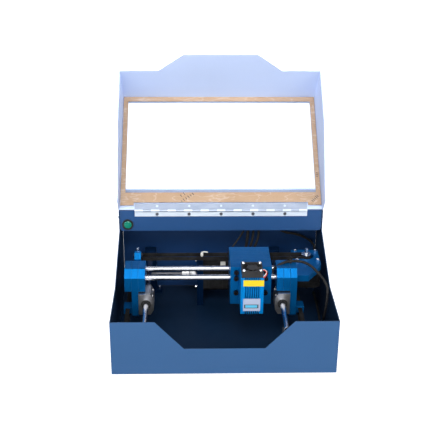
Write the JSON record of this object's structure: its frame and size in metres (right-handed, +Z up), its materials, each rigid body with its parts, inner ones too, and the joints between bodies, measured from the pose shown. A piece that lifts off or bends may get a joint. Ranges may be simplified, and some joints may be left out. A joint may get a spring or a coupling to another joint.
{
  "type": "desktop laser cutter",
  "caption": "Desktop laser cutter with a folded metal case, hinged window lid, belt-driven gantry and a fan-cooled laser module",
  "frame": {"origin": "middle of the case's footprint, on the table under its rubber feet", "axes": "+Z up, +X to the operator's right, +Y from the front panel to the rear"},
  "size_m": [0.323, 0.372, 0.3893],
  "materials": {
    "case_paint": "blue powder coat, fine orange peel",
    "cover_paint": "blue powder coat, fine orange peel",
    "lid_paint": "pale blue powder coat",
    "window": "clear acrylic",
    "tape": "grey adhesive tape",
    "film": "brown kraft protective film",
    "hinge_steel": "nickel plated",
    "dark_screws": "darkened steel",
    "steel_screws": "zinc plated",
    "black_screws": "black oxide",
    "rubber": "matt rubber",
    "switch": "dark moulded plastic",
    "button": "translucent green lens",
    "rod_steel": "ground and hard chromed",
    "stand_plastic": "dark moulded plastic",
    "blue_anodised": "blue anodised, machined",
    "dark_anodised": "dark blue anodised, machined",
    "laser_anodised": "blue anodised extrusion",
    "raw_aluminium": "cast and machined",
    "pulley_metal": "machined",
    "motor_black": "black laminations and end caps",
    "bearing_steel": "ground steel",
    "belt": "toothed rubber belt",
    "board": "green circuit board",
    "brass": "turned brass",
    "black_plastic": "black moulded plastic",
    "cable": "black cable sleeve",
    "label": "printed stickers without lettering",
    "focus": "dark anodised, knurled"
  },
  "bodies": {
    "case": {"base_tray": "case_paint", "rear_cover": "cover_paint", "cover_screws": "steel_screws", "rubber_feet": "rubber", "hinge_lower_leaf": "hinge_steel", "hinge_pin": "hinge_steel", "hinge_lower_screws": "dark_screws", "switch_body": "switch", "y_rods": "rod_steel", "rod_stands_front": "stand_plastic", "rod_stands_rear": "dark_anodised", "drive_screws": "steel_screws", "y_motor": "motor_black", "y_motor_plate": "dark_anodised", "shaft_blocks": "dark_anodised", "shaft_bearings": "bearing_steel", "idler_stands": "stand_plastic", "idler_axles": "steel_screws", "y_belts": "belt", "control_board": "board", "board_standoffs": "brass", "power_jack": "black_plastic", "usb_socket": "bearing_steel", "wiring_clips": "black_plastic", "case_cable": "cable"},
    "lid": {"lid_shell": "lid_paint", "window_panel": "window", "window_tape": "tape", "window_film": "film", "hinge_upper_leaf": "hinge_steel", "hinge_upper_screws": "hinge_steel"},
    "button": {"button_cap": "button"},
    "gantry": {"left_end_plates": "blue_anodised", "right_end_plates": "blue_anodised", "y_bearing_blocks": "raw_aluminium", "y_bearings": "bearing_steel", "y_bearing_seals": "rubber", "x_rods": "rod_steel", "x_motor_plate": "blue_anodised", "x_motor": "motor_black", "x_motor_screws": "steel_screws", "x_idler_bracket": "blue_anodised", "x_idler_bolt": "steel_screws", "x_belt": "belt"},
    "drive_shaft": {"y_shaft": "dark_screws", "y_couplings": "raw_aluminium", "y_pulleys": "pulley_metal"},
    "idler_left": {"y_idler_left": "pulley_metal"},
    "idler_right": {"y_idler_right": "pulley_metal"},
    "x_motor_pulley": {"x_pulley": "pulley_metal"},
    "x_idler_pulley": {"x_idler": "black_plastic"},
    "carriage": {"carriage_block": "blue_anodised", "carriage_bearings": "bearing_steel", "carriage_screws": "black_screws", "laser_body": "laser_anodised", "laser_labels": "label", "fan_frame": "black_plastic", "fan_screws": "steel_screws"},
    "fan": {"fan_rotor": "black_plastic"},
    "focus": {"focus_ring": "focus"}
  },
  "joints": [
    {"name": "lid_hinge", "type": "hinge", "parent": "case", "child": "lid", "pos_m": [0, 0.079, 0.163], "axis": [1, 0, 0], "range_deg": [0, 139.5]},
    {"name": "power_button", "type": "slide", "parent": "case", "child": "button", "axis": [0, 1, 0], "range_m": [0, 0.0015], "stiffness_N_per_m": 400},
    {"name": "gantry_y", "type": "slide", "parent": "case", "child": "gantry", "axis": [0, 1, 0], "range_m": [-0.045, 0.055]},
    {"name": "drive_shaft_spin", "type": "hinge", "parent": "case", "child": "drive_shaft", "pos_m": [0, 0.084, 0.05], "axis": [1, 0, 0], "range_deg": [-520, 520]},
    {"name": "idler_left_spin", "type": "hinge", "parent": "case", "child": "idler_left", "pos_m": [-0.141, -0.101, 0.05], "axis": [1, 0, 0], "range_deg": [-520, 520]},
    {"name": "idler_right_spin", "type": "hinge", "parent": "case", "child": "idler_right", "pos_m": [0.115, -0.101, 0.05], "axis": [1, 0, 0], "range_deg": [-520, 520]},
    {"name": "carriage_x", "type": "slide", "parent": "gantry", "child": "carriage", "axis": [1, 0, 0], "range_m": [-0.11, 0.004]},
    {"name": "x_motor_spin", "type": "hinge", "parent": "gantry", "child": "x_motor_pulley", "pos_m": [0.13, 0.029, 0.1076], "axis": [0, 0, 1], "range_deg": [-1020, 1020]},
    {"name": "x_idler_spin", "type": "hinge", "parent": "gantry", "child": "x_idler_pulley", "pos_m": [-0.128, 0.029, 0.1076], "axis": [0, 0, 1], "range_deg": [-1020, 1020]},
    {"name": "fan_spin", "type": "hinge", "parent": "carriage", "child": "fan", "pos_m": [0.0403, -0.0635, 0.132], "axis": [0, 0, 1], "continuous": true},
    {"name": "focus_turn", "type": "hinge", "parent": "carriage", "child": "focus", "pos_m": [0.0403, -0.0635, 0.067], "axis": [0, 0, 1], "range_deg": [-180, 180]}
  ],
  "couplings": [
    {"joint": "drive_shaft_spin", "follows": "gantry_y", "rad_per_m": -157.08},
    {"joint": "idler_left_spin", "follows": "gantry_y", "rad_per_m": -157.08},
    {"joint": "idler_right_spin", "follows": "gantry_y", "rad_per_m": -157.08},
    {"joint": "x_motor_spin", "follows": "carriage_x", "rad_per_m": 157.08},
    {"joint": "x_idler_spin", "follows": "carriage_x", "rad_per_m": 157.08}
  ]
}
